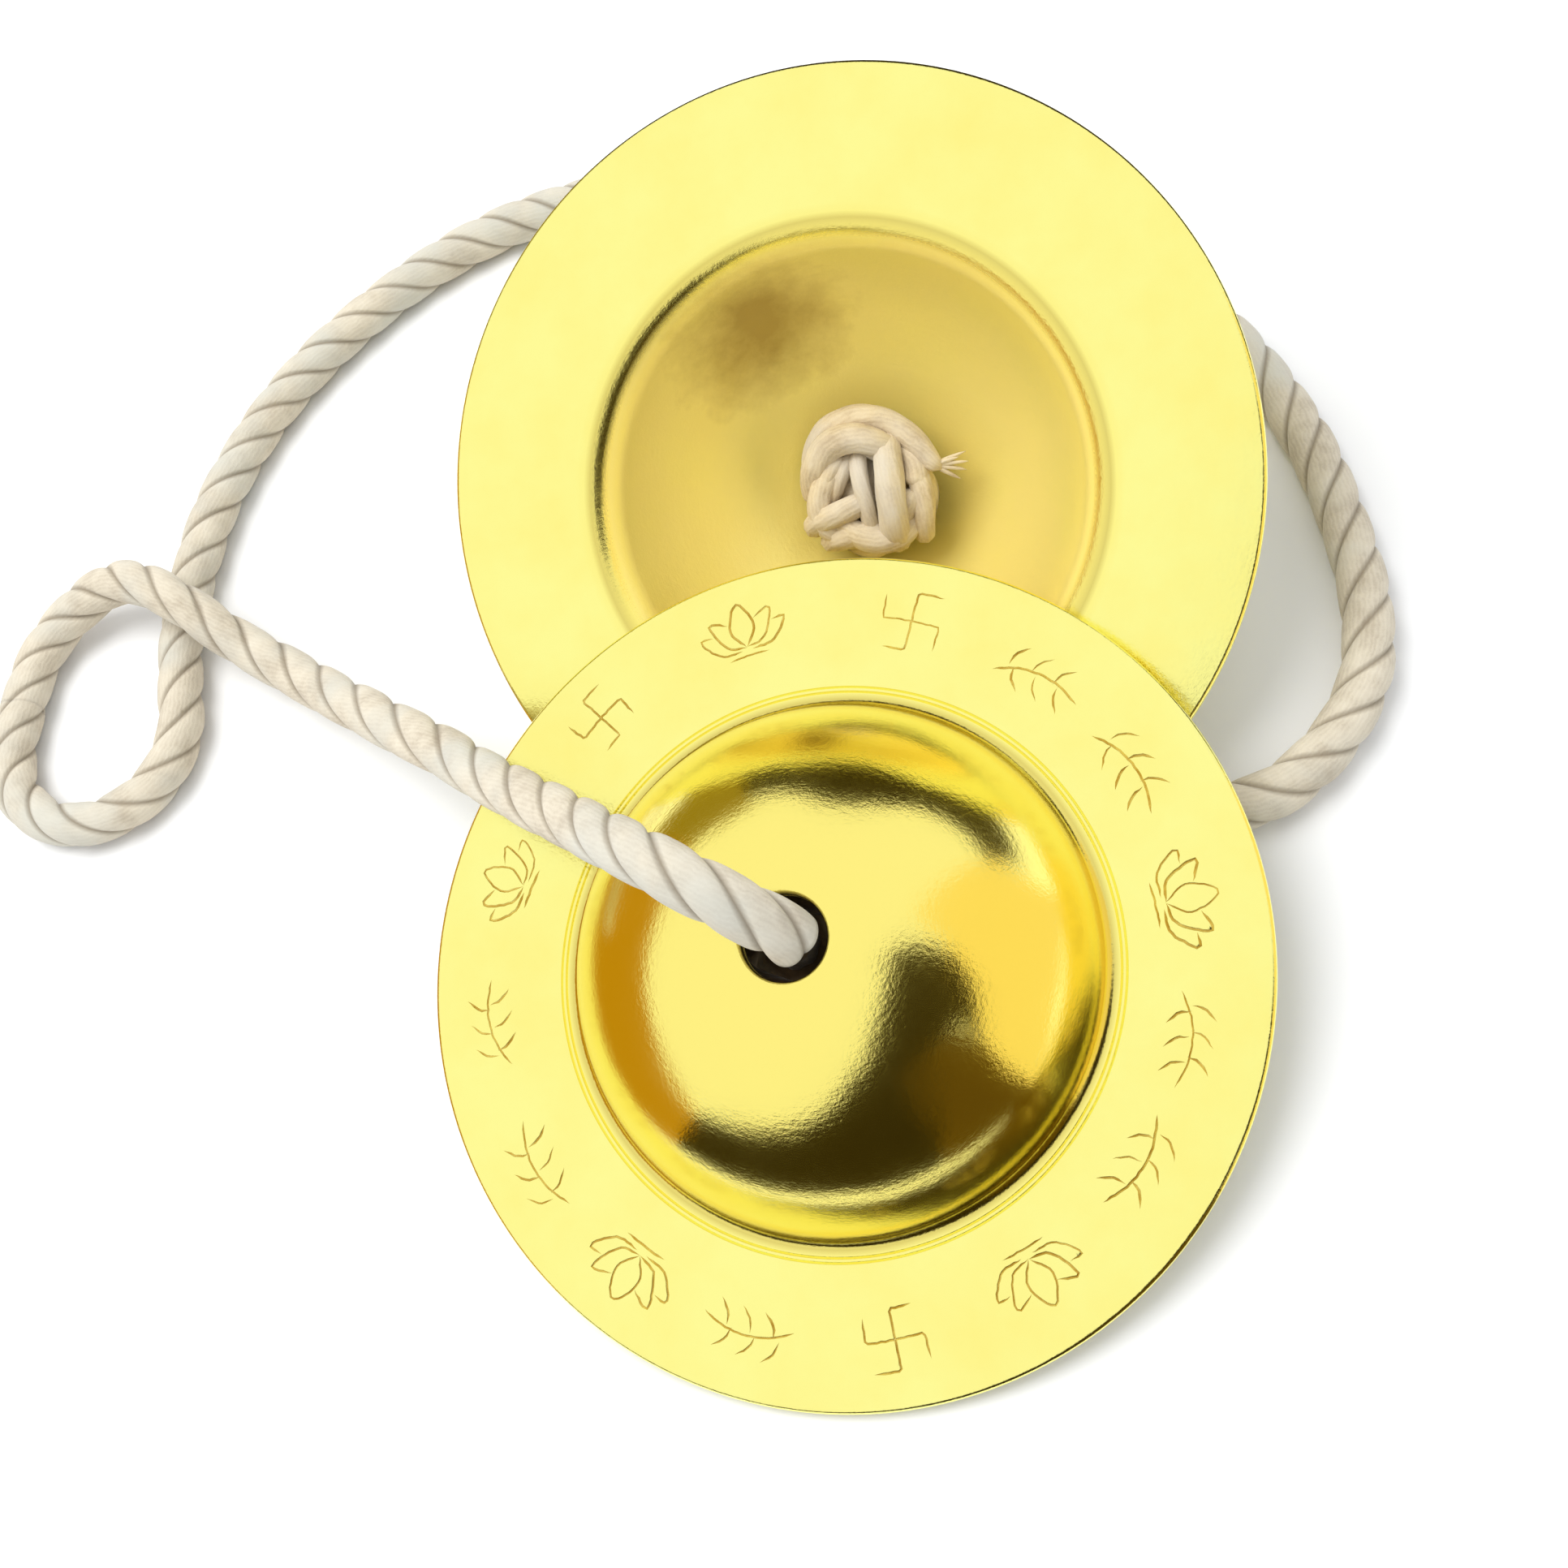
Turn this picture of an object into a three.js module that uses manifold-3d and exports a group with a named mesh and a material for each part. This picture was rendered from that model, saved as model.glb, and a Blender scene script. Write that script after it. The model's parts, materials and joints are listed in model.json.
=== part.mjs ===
// A pair of manjira: two small brass hand cymbals joined by one cotton cord.
// Millimetres, +Z up, at rest on a table. The rear cymbal lies on its boss with the cup open upwards.
// The front cymbal lies boss up, its far side resting on the rear cymbal's mouth.
// The origin is on the table, halfway along the pair.
import * as THREE from 'three';
import * as BufferGeometryUtils from 'three/addons/utils/BufferGeometryUtils.js';
import Module from 'manifold-3d';

const wasm = await Module();
wasm.setup();

// Cymbal
const RIM_RADIUS = 43;
const WALL = 1.8;
const EDGE_ROUND = 0.5;
const BOSS_RADIUS = 27;
const BOSS_RISE = 22.2; // above the rim's outer face
const FOOT_FILLET = 1.2; // where the boss rises from the rim
const HOLE_RADIUS = 4;
const GROOVE_INSET = 0.9; // from the end of the foot fillet to the turned line
const GROOVE_WIDTH = 0.9;
const GROOVE_DEPTH = 0.25;

// Cord and knots
const CORD_DIAMETER = 5.4;
const KNOT_WIDTH = 15;
const KNOT_HEIGHT = 13;
const KNOT_LOBES = 4; // in each of two rows
const LOBE_LENGTH = 9;
const LOBE_LEAN = 0.6; // radians, opposite ways in the two rows
const LOBE_STANDS = 1.5; // out of the knot's core
const LOBE_ROWS_APART = 4.3;

// Lie of the pair
const GAP = 0.3; // between pieces that touch
const PAIR_SPACING = 47; // from rim centre to rim centre, along the table

// Fineness of the faceted solids
const ROUND_STEPS = 60;
const BOSS_STEPS = 8;
const FILLET_STEPS = 3;
const EDGE_STEPS = 4;
const CORD_SIDES = 8;
const CORD_STEP = 7;
const CORE_SIDES = 12;
const CORE_RINGS = 8;
const LOBE_SIDES = 8;
const LOBE_RINGS = 6;

const MAX_LEAN = 0.6; // radians, steeper than the front cymbal can lean
const SETTLE_ROUNDS = 40;
const RIM_SAMPLES = 720;
const MERGE_WITHIN = 1e-4; // corners this close are one

const rearBrass = new THREE.MeshStandardMaterial({ color: 0xe8c84e, roughness: 0.3, metalness: 1 });
const frontBrass = new THREE.MeshStandardMaterial({ color: 0xecca4a, roughness: 0.28, metalness: 1 });
const knotCotton = new THREE.MeshStandardMaterial({ color: 0xd9c9a8, roughness: 0.95, metalness: 0 });
const cordCotton = new THREE.MeshStandardMaterial({ color: 0xe2d8c2, roughness: 0.95, metalness: 0 });

// The boss is part of a sphere, whose centre lies below the rim on the cymbal's own axis.
// In a cymbal's own frame, z = 0 is the striking face and the boss rises towards +Z.
const bossSphere = (BOSS_RADIUS ** 2 + BOSS_RISE ** 2) / (2 * BOSS_RISE);
const cupSphere = bossSphere - WALL;
const sphereZ = WALL + BOSS_RISE - bossSphere;
const mouthBend = FOOT_FILLET + WALL;
const bendRadius = Math.sqrt((bossSphere + FOOT_FILLET) ** 2 - (mouthBend - sphereZ) ** 2);
const edgeRadius = RIM_RADIUS - EDGE_ROUND;

// Points [radius, height] along an arc, both ends included.
function arc(radius, height, size, from, to, steps) {
  const points = [];
  for (let i = 0; i <= steps; i++) {
    const angle = from + ((to - from) * i) / steps;
    points.push([radius + size * Math.cos(angle), height + size * Math.sin(angle)]);
  }
  return points;
}

// The section of the bent sheet, closed on itself, from the hole over the boss to the rim and back inside.
function cymbalSection() {
  const footAngle = Math.atan2(mouthBend - sphereZ, bendRadius);
  const outerHole = Math.acos(HOLE_RADIUS / bossSphere);
  const innerHole = Math.acos(HOLE_RADIUS / cupSphere);
  const grooveStart = bendRadius + GROOVE_INSET;
  const grooveMiddle = grooveStart + GROOVE_WIDTH / 2;
  return [
    ...arc(0, sphereZ, bossSphere, outerHole, footAngle, BOSS_STEPS),
    ...arc(bendRadius, mouthBend, FOOT_FILLET, Math.PI + footAngle, 1.5 * Math.PI, FILLET_STEPS).slice(1),
    [grooveStart, WALL],
    [grooveMiddle, WALL - GROOVE_DEPTH],
    [grooveStart + GROOVE_WIDTH, WALL],
    ...arc(edgeRadius, WALL - EDGE_ROUND, EDGE_ROUND, Math.PI / 2, 0, EDGE_STEPS / 2),
    ...arc(edgeRadius, EDGE_ROUND, EDGE_ROUND, 0, -Math.PI / 2, EDGE_STEPS / 2),
    ...arc(bendRadius, mouthBend, mouthBend, 1.5 * Math.PI, Math.PI + footAngle, FILLET_STEPS),
    ...arc(0, sphereZ, cupSphere, footAngle, innerHole, BOSS_STEPS).slice(1),
  ];
}

function cymbalGeometry() {
  const section = cymbalSection().reverse();
  section.push(section[0]);
  const profile = section.map(([radius, height]) => new THREE.Vector2(radius, height));
  return new THREE.LatheGeometry(profile, ROUND_STEPS).rotateX(Math.PI / 2);
}

// Boolean joins

function toSolid(geometry) {
  const plain = geometry.clone();
  plain.deleteAttribute('normal');
  plain.deleteAttribute('uv');
  const merged = BufferGeometryUtils.mergeVertices(plain, MERGE_WITHIN);
  const mesh = new wasm.Mesh({
    numProp: 3,
    vertProperties: new Float32Array(merged.attributes.position.array),
    triVerts: new Uint32Array(merged.index.array),
  });
  return new wasm.Manifold(mesh);
}

function toGeometry(solid) {
  const mesh = solid.getMesh();
  const geometry = new THREE.BufferGeometry();
  geometry.setAttribute('position', new THREE.BufferAttribute(mesh.vertProperties, 3));
  geometry.setIndex(new THREE.BufferAttribute(mesh.triVerts, 1));
  geometry.computeVertexNormals();
  return geometry;
}

// A stopper knot: a core with two rows of strand lobes that lean opposite ways.
// Its own frame has the hole's axis as Z, and z = 0 is its end that presses on the cup.
function knotGeometry() {
  const coreRadius = KNOT_WIDTH / 2 - LOBE_STANDS;
  const lobeRadius = CORD_DIAMETER / 2;
  const core = new THREE.SphereGeometry(1, CORE_SIDES, CORE_RINGS).rotateX(Math.PI / 2);
  core.scale(coreRadius, coreRadius, KNOT_HEIGHT / 2);
  let knot = toSolid(core);
  for (const row of [0, 1]) {
    for (let i = 0; i < KNOT_LOBES; i++) {
      const lobe = new THREE.SphereGeometry(1, LOBE_SIDES, LOBE_RINGS);
      lobe.scale(lobeRadius, LOBE_LENGTH / 2, lobeRadius);
      lobe.rotateX(row ? LOBE_LEAN : -LOBE_LEAN);
      lobe.translate(KNOT_WIDTH / 2 - lobeRadius, 0, (row - 0.5) * LOBE_ROWS_APART);
      lobe.rotateZ(((i + row / 2) * 2 * Math.PI) / KNOT_LOBES);
      knot = knot.add(toSolid(lobe));
    }
  }
  return toGeometry(knot).translate(0, 0, -KNOT_HEIGHT / 2);
}

// Where the pair lies

// The rear cymbal leans towards the viewer until its near edge meets the table beside its boss.
function rearLean() {
  const edgeAboveSphere = WALL - EDGE_ROUND - sphereZ;
  const reach = Math.hypot(edgeRadius, edgeAboveSphere);
  return Math.asin((bossSphere - EDGE_ROUND) / reach) - Math.atan2(edgeAboveSphere, edgeRadius);
}

// The height of the front cymbal's striking face at its centre, with its near edge on the table.
function frontHeight(lean) {
  return EDGE_ROUND + edgeRadius * Math.sin(lean) - EDGE_ROUND * Math.cos(lean);
}

// The least gap between the front cymbal's lower edge and the rear cymbal's striking side.
function gapToRear(lean, rear) {
  let least = Infinity;
  for (let i = 0; i < RIM_SAMPLES; i++) {
    const angle = (i * 2 * Math.PI) / RIM_SAMPLES;
    const along = edgeRadius * Math.cos(angle);
    const y = along * Math.cos(lean) - EDGE_ROUND * Math.sin(lean) - PAIR_SPACING;
    const z = frontHeight(lean) + along * Math.sin(lean) + EDGE_ROUND * Math.cos(lean) - rear.height;
    const depth = y * Math.sin(rear.lean) - z * Math.cos(rear.lean);
    const radius = Math.hypot(edgeRadius * Math.sin(angle), y * Math.cos(rear.lean) + z * Math.sin(rear.lean));
    if (radius > BOSS_RADIUS / 2 && radius < RIM_RADIUS) {
      const onBend = Math.hypot(bendRadius - radius, mouthBend - depth) - mouthBend;
      least = Math.min(least, (radius < bendRadius ? onBend : -depth) - EDGE_ROUND);
    }
  }
  return least;
}

// The front cymbal sinks until its far side lies on the rear one.
function frontLean(rear) {
  let low = 0;
  let high = MAX_LEAN;
  for (let i = 0; i < SETTLE_ROUNDS; i++) {
    const middle = (low + high) / 2;
    if (gapToRear(middle, rear) < GAP) low = middle;
    else high = middle;
  }
  return high;
}

const rear = { lean: rearLean() };
rear.height = bossSphere + sphereZ * Math.cos(rear.lean);
const front = { lean: frontLean(rear) };
front.height = frontHeight(front.lean);
const farReach = RIM_RADIUS * Math.cos(rear.lean) + WALL * Math.sin(rear.lean);
const nearReach = PAIR_SPACING + RIM_RADIUS * Math.cos(front.lean) + WALL * Math.sin(front.lean);
rear.y = (nearReach - farReach) / 2;
front.y = rear.y - PAIR_SPACING;

// The cord's route, chosen by hand: centre points on the table or over the front cymbal.
const FRONT_ROUTE = [
  [0.8, -26, 31.9], [0.3, -25.9, 33], [-1, -25.6, 34.9], [-3, -25, 36.8], [-5.7, -23.9, 38.2],
  [-8.4, -22.6, 38.7], [-11.1, -21.1, 38.4], [-13.6, -19.6, 37.4], [-18, -16.8, 34.6], [-22.5, -13.7, 31.4],
  [-27.5, -10.4, 28], [-32.5, -7, 24.6], [-37, -3.9, 21.5], [-41.1, -0.9, 18.8], [-45.7, 2.1, 16.4],
  [-50.9, 5.2, 14], [-56.4, 8.7, 11.4], [-61.9, 12.1, 8.8], [-67.4, 15.6, 6.5], [-72.8, 18.8, 5.4],
  [-77, 21.1, 5.6], [-80.7, 23.1, 6.7], [-83.7, 24.9, 7.9], [-87, 26.7, 8.6], [-91.1, 28.7, 8.5],
  [-95.3, 29.9, 7.4], [-99.3, 29.6, 5.9], [-103, 27.8, 4.4], [-105.9, 25, 3.4], [-107.5, 21.6, 2.9],
  [-108, 18.2, 2.8], [-108, 15.2, 2.8],
];
const REAR_ROUTE = [
  [0, 38.3, 5.3], [0, 39.7, 4.4], [0, 42.5, 3.2], [0.1, 46.4, 2.8], [1.7, 52, 2.8],
  [6, 56.4, 2.8], [12, 58, 2.8], [18, 56.4, 2.8], [22.3, 52, 2.8], [24, 46, 2.8],
  [24.7, 36, 2.8], [25, 24, 2.8], [25, 11, 2.8], [26.6, 5, 2.8], [31, 0.6, 2.8],
  [37, -1, 2.8], [43, 0.6, 2.8], [49, 6.4, 2.8], [52.6, 14, 2.8], [53, 22.5, 2.8],
  [51.2, 32, 2.8], [47, 45, 2.8], [38, 60, 2.8], [24, 73, 2.8], [6, 82, 2.8],
  [-14, 87.6, 2.8], [-34, 89.6, 2.8], [-50, 86.6, 2.8], [-63, 80, 2.8], [-74, 70, 2.8],
  [-82.5, 58, 2.8], [-87.2, 45, 2.8], [-88.5, 33, 2.8], [-88.1, 24, 2.8], [-86.6, 17, 2.8],
  [-85.3, 10.8, 2.8], [-86.8, 4.9, 2.8], [-91, 0.7, 2.8], [-96.7, -0.9, 2.8], [-102.4, 0.7, 2.8],
  [-106.5, 4.8, 2.8], [-108, 10.5, 2.8], [-108, 14.9, 2.8],
];

function cordGeometry(route) {
  const path = new THREE.CatmullRomCurve3(route.map((point) => new THREE.Vector3(...point)));
  const outline = [];
  for (let i = 0; i < CORD_SIDES; i++) {
    const angle = ((i + 0.5) * 2 * Math.PI) / CORD_SIDES;
    outline.push(new THREE.Vector2(Math.cos(angle), Math.sin(angle)).multiplyScalar(CORD_DIAMETER / 2));
  }
  const steps = Math.round(path.getLength() / CORD_STEP);
  return new THREE.ExtrudeGeometry(new THREE.Shape(outline), { steps, extrudePath: path });
}

function named(name, geometry, material) {
  const mesh = new THREE.Mesh(geometry, material);
  mesh.name = name;
  return mesh;
}

// A cymbal with its knot, both in the cymbal's own frame.
function cymbalWithKnot(name, material) {
  const group = new THREE.Group();
  const knot = named(`${name}_knot`, knotGeometry(), knotCotton);
  knot.position.z = sphereZ + cupSphere - GAP;
  group.add(named(`${name}_cymbal`, cymbalGeometry(), material), knot);
  return group;
}

const rearPair = cymbalWithKnot('rear', rearBrass);
rearPair.rotation.x = Math.PI + rear.lean;
rearPair.position.set(0, rear.y, rear.height);

const frontPair = cymbalWithKnot('front', frontBrass);
frontPair.rotation.x = front.lean;
frontPair.position.set(0, front.y, front.height);

const manjira = new THREE.Group();
manjira.add(
  rearPair,
  frontPair,
  named('cord_rear_run', cordGeometry(REAR_ROUTE), cordCotton),
  named('cord_front_run', cordGeometry(FRONT_ROUTE), cordCotton),
);

export default manjira;
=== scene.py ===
# The look of the pair of manjira: camera, cord, knots, brass, and light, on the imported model.
# Metres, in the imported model's frame.
import json
import math
import random

import bmesh
import bpy
import numpy as np
from mathutils import Matrix, Vector
from mathutils.geometry import delaunay_2d_cdt


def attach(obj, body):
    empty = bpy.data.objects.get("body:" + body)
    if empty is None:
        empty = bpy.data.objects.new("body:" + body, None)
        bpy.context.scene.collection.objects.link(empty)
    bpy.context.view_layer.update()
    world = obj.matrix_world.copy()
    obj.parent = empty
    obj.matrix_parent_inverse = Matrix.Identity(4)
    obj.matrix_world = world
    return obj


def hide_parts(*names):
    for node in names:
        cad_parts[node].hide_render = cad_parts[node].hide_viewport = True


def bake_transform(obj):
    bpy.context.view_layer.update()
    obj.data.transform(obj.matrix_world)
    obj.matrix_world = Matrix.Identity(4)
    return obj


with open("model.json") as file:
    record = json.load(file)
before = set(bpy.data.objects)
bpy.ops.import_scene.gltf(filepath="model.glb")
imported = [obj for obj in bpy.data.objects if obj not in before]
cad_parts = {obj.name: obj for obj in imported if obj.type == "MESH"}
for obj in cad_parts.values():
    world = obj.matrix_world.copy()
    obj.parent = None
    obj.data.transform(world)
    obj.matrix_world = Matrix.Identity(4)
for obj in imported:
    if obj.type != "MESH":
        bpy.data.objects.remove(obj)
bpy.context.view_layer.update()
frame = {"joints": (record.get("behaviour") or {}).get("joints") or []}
scene = bpy.context.scene

MM = 0.001
TURN = 2 * math.pi
OWN_PLACE = "own_place"

# Camera, as the photograph was taken
CAMERA_PLACE = (0.0420, -0.08445, 0.19155)
CAMERA_FORWARD = (-0.2392, 0.4072, -0.8815)
CAMERA_UP = (0.0186, 0.9096, 0.4151)
LENS = 44.66
SENSOR = 36
CLIP_START = 0.01

# Floor and light
FLOOR_HALF = 1.6
FLOOR_PAPER = (0.9, 0.9, 0.9, 1)
FLOOR_ROUGHNESS = 0.9
FLOOR_SPECULAR = 0.1
SOFT_LIGHT = 0.9
SOFT_LIGHT_TINT = (0.96, 0.98, 1.0)
WHITE = (1, 1, 1)
KEY_PLACE = (-0.25, 0.05, 0.6)
KEY_TARGET = (0, 0, 0.01)
KEY_SIZE = 0.5
KEY_POWER = 3.0

# The cards stand round the pair and are seen only in the brass. Each outline holds azimuths clockwise
# from the far side, each with its lowest and highest elevation, in degrees as seen from CARD_CENTRE in
# the front boss. Where a card's foot would be below the table, it lies on the table.
CARD_CENTRE = (0, -0.021, 0.014)
CARD_DISTANCE = 0.14
CARD_ROWS = 40
TABLE_PAPER = 0.5 * MM
DARK = (0.034, 0.024, 0.006)
BROWN = (0.11, 0.065, 0.008)
OLIVE = (0.30, 0.22, 0.025)
AMBER = (0.52, 0.27, 0.008)
GOLD = (1.0, 0.82, 0.42)
CARDS = {
    "olive_card": (OLIVE, [(-57, 0, 24), (-45, 0, 29), (-30, 0, 31)]),
    "dark_card_far": (
        DARK,
        [(-30, 0, 26), (-18, 0, 31), (-5, 0, 39), (6, 0, 40), (14, 0, 37), (25, 0, 30), (35, 0, 23),
         (45, 0, 19), (57, 2, 15)],
    ),
    "dark_card_right": (DARK, [(96, 36, 50), (104, 21, 57), (112, 17, 59), (119, 9, 57)]),
    "dark_card_near": (
        DARK,
        [(119, 22, 57), (135, 24, 51), (150, -15, 42), (165, -15, 29), (178, -15, 17), (192, -15, 8),
         (205, -15, 3), (224, -15, -2)],
    ),
    "brown_card_near": (BROWN, [(119, -15, 9), (122, -15, 22), (135, -15, 24), (150, -15, 20)]),
    "amber_card": (
        AMBER, [(224, -15, -2), (236, -15, 4), (250, -15, 11), (262, -15, 15), (280, -15, 23), (303, -12, 25)]
    ),
    "gold_card": (GOLD, [(57, 14, 26), (66, -10, 42), (80, -10, 50), (96, -10, 36), (119, -15, 9)]),
}

# Cymbal, as in the CAD
RIM_RADIUS = 43 * MM
WALL = 1.8 * MM
EDGE_ROUND = 0.5 * MM
BOSS_RADIUS = 27 * MM
BOSS_RISE = 22.2 * MM
FOOT_FILLET = 1.2 * MM
CUP_BEND = 4.6 * MM
HOLE_RADIUS = 4 * MM
HOLE_ROUND = 0.3 * MM
TURNED_LINES = (0.45 * MM, 0.95 * MM)  # from the end of the foot fillet
LINE_WIDTH = 0.26 * MM
LINE_DEPTH = 0.12 * MM
ROUND_STEPS = 256
DOME_STEPS = 60
FOOT_STEPS = 8
EDGE_STEPS = 6
MOUTH_STEPS = 16
HOLE_STEPS = 3
WELD_DISTANCE = 1e-7
SHARP_DEGREES = 32

BOSS_SPHERE = (BOSS_RADIUS**2 + BOSS_RISE**2) / (2 * BOSS_RISE)
CUP_SPHERE = BOSS_SPHERE - WALL
SPHERE_Z = WALL + BOSS_RISE - BOSS_SPHERE
MOUTH_BEND = FOOT_FILLET + WALL
BEND_RADIUS = math.sqrt((BOSS_SPHERE + FOOT_FILLET) ** 2 - (MOUTH_BEND - SPHERE_Z) ** 2)
MOUTH_RADIUS = math.sqrt((CUP_SPHERE + CUP_BEND) ** 2 - (CUP_BEND - SPHERE_Z) ** 2)

# Marks scratched freehand on the front rim, each with its middle's radius in mm
# and its place in degrees, clockwise from the far side
MARKS = [
    ("swastika", 36.4, 11), ("sprig", 35.6, 34), ("sprig", 35.4, 57), ("lotus", 35.4, 79),
    ("sprig", 35.4, 101), ("sprig", 35.4, 123), ("lotus", 36.0, 146), ("swastika", 36.4, 169),
    ("sprig", 36.6, 193), ("lotus", 36.8, 214), ("sprig", 36.8, 236), ("sprig", 36.8, 260),
    ("lotus", 36.8, 284), ("swastika", 37.1, 315), ("lotus", 37.2, 343),
]
MARKS_FROM = 29.6 * MM
MARK_SEED = 5
MARK_SHIFT = 1  # degrees round the rim
MARK_LEAN = 0.1
MARK_SIZES = (0.9, 1.02)
STROKE_SHAKE = 0.05
STROKE_PRESSURES = (0.7, 1.15)
SCRATCH_WIDTH = 0.26
SCRATCH_SLOPE = 0.72
SCRATCH_STEP = 0.45
SCRATCH_TAPER = 0.9
CUT_FROM = 0.004  # mm deep, where a face counts as cut
FACE_MARGIN = 1e-3
SAME_POINT = 1e-5

# Brass
RIM_BRASS = (1.0, 0.96, 0.31)
BOSS_BRASS = (1.0, 0.87, 0.22)
CUP_BRASS = (1.0, 0.84, 0.25)
CUP_METALLIC = 0.35
# Painted dark reflections, coloured as tarnish: a ring round the boss's foot, and a patch in the rear cup
PAINTED_REFLECTION_BROWN = (0.36, 0.22, 0.03)
RIM_ROUGHNESS = 0.15
CUP_ROUGHNESS = 0.3
REAR_BOSS_ROUGHNESS = 0.17
FRONT_BOSS_ROUGHNESS = 0.13
# A painted dark reflection in the rear cup, coloured as tarnish: its middle in the cup's own frame, its
# reach, raggedness, share and noise scale
CUP_PAINTED_REFLECTION = (-10.9 * MM, -18.5 * MM, 10.7 * MM)
PAINTED_REFLECTION_REACH = (7 * MM, 16 * MM)
PAINTED_REFLECTION_RAGGED = 9 * MM
PAINTED_REFLECTION_SHARE = 0.8
PAINTED_REFLECTION_SCALE = 190
# The painted dark reflection round the boss's foot: its share, how far inside the foot it starts, and its
# fade
FOOT_PAINTED_REFLECTION = 0.35
FOOT_INSIDE = 1.4 * MM
FOOT_FADE = 0.3 * MM
CLOUD_SCALE = 75
CLOUD_SHARE = 0.6
CLOUD_ROUGHNESS = 0.03
GRAIN_SCALE = 2000
GRAIN_ROUGHNESS = 0.05
TURNING_SCALE = 2600  # across the marks that turning leaves
ALONG_SCALE = 45  # along them
TURNING_SHARE = 0.4
GRAIN_DEPTH = 0.05 * MM
WAVE_SCALE = 105
WAVE_DEPTH = 0.3 * MM
BRASS_BUMP = 0.5
SCRATCH_DARK = (0.74, 0.52, 0.10)
SCRATCH_PALE = (0.95, 0.80, 0.26)
SCRATCH_ROUGHNESS = 0.5
SCRATCH_SCALE = 800

# Cord. It has three strands, pressed flat against each other, with a groove between.
CREST = 2.75 * MM
GROOVE = 0.55 * MM
STRAND_FLATNESS = 3.2
WANDER = 0.012
WANDER_WAVES = (4.7 * MM, 11.3 * MM)
SWELL = 0.015
SWELL_WAVE = 7.9 * MM
STRAND_SPACING = 40  # in the uv map, from one strand to the next
LAY_PLACES = (0, 30 * MM, 60 * MM, 85 * MM, 110 * MM, 146 * MM)
LAYS = (18 * MM, 20 * MM, 28 * MM, 26 * MM, 21 * MM, 17.5 * MM)
CORD_STEP = 0.42 * MM
STRAND_COLUMNS = 18
HALF_STRAND = TURN / 6 * CREST / MM

FRONT_ROUTE = [
    (0.0008, -0.026, 0.0319), (0.0003, -0.0259, 0.033), (-0.001, -0.0256, 0.0349),
    (-0.003, -0.025, 0.0368), (-0.0057, -0.0239, 0.0382), (-0.0084, -0.0226, 0.0387),
    (-0.0111, -0.0211, 0.0384), (-0.0136, -0.0196, 0.0374), (-0.018, -0.0168, 0.0346),
    (-0.0225, -0.0137, 0.0314), (-0.0275, -0.0104, 0.028), (-0.0325, -0.007, 0.0246),
    (-0.037, -0.0039, 0.0215), (-0.0411, -0.0009, 0.0188), (-0.0457, 0.0021, 0.0164),
    (-0.0509, 0.0052, 0.014), (-0.0564, 0.0087, 0.0114), (-0.0619, 0.0121, 0.0088),
    (-0.0674, 0.0156, 0.0065), (-0.0728, 0.0188, 0.0054), (-0.077, 0.0211, 0.0056),
    (-0.0807, 0.0231, 0.0067), (-0.0837, 0.0249, 0.0079), (-0.087, 0.0267, 0.0086),
    (-0.0911, 0.0287, 0.0085), (-0.0953, 0.0299, 0.0074), (-0.0993, 0.0296, 0.0059),
    (-0.103, 0.0278, 0.0044), (-0.1059, 0.025, 0.0034), (-0.1075, 0.0216, 0.0029),
    (-0.108, 0.0182, 0.0028), (-0.108, 0.0152, 0.0028),
]
REAR_ROUTE = [
    (0, 0.0383, 0.0053), (0, 0.0397, 0.0044), (0, 0.0425, 0.0032), (0.0001, 0.0464, 0.0028),
    (0.0017, 0.052, 0.0028), (0.006, 0.0564, 0.0028), (0.012, 0.058, 0.0028),
    (0.018, 0.0564, 0.0028), (0.0223, 0.052, 0.0028), (0.024, 0.046, 0.0028),
    (0.0247, 0.036, 0.0028), (0.025, 0.024, 0.0028), (0.025, 0.011, 0.0028),
    (0.0266, 0.005, 0.0028), (0.031, 0.0006, 0.0028), (0.037, -0.001, 0.0028),
    (0.043, 0.0006, 0.0028), (0.049, 0.0064, 0.0028), (0.0526, 0.014, 0.0028),
    (0.053, 0.0225, 0.0028), (0.0512, 0.032, 0.0028), (0.047, 0.045, 0.0028), (0.038, 0.06, 0.0028),
    (0.024, 0.073, 0.0028), (0.006, 0.082, 0.0028), (-0.014, 0.0876, 0.0028),
    (-0.034, 0.0896, 0.0028), (-0.05, 0.0866, 0.0028), (-0.063, 0.08, 0.0028),
    (-0.074, 0.07, 0.0028), (-0.0825, 0.058, 0.0028), (-0.0872, 0.045, 0.0028),
    (-0.0885, 0.033, 0.0028), (-0.0881, 0.024, 0.0028), (-0.0866, 0.017, 0.0028),
    (-0.0853, 0.0108, 0.0028), (-0.0868, 0.0049, 0.0028), (-0.091, 0.0007, 0.0028),
    (-0.0967, -0.0009, 0.0028), (-0.1024, 0.0007, 0.0028), (-0.1065, 0.0048, 0.0028),
    (-0.108, 0.0105, 0.0028), (-0.108, 0.0149, 0.0028),
]

# Cotton, its colours light, middle, shaded and greyed
CORD_COTTON = ((0.72, 0.65, 0.52), (0.62, 0.55, 0.43), (0.47, 0.40, 0.30), (0.58, 0.57, 0.50))
# Painted shade deep in the grooves between the cord's strands
CORD_GROOVE_SHADE = (0.20, 0.155, 0.10)
CORD_YARN_LEAN = 0.9
KNOT_COTTON = ((0.80, 0.68, 0.46), (0.68, 0.55, 0.35), (0.47, 0.35, 0.20), (0.66, 0.60, 0.50))
KNOT_YARN_LEAN = 0.2
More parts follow.
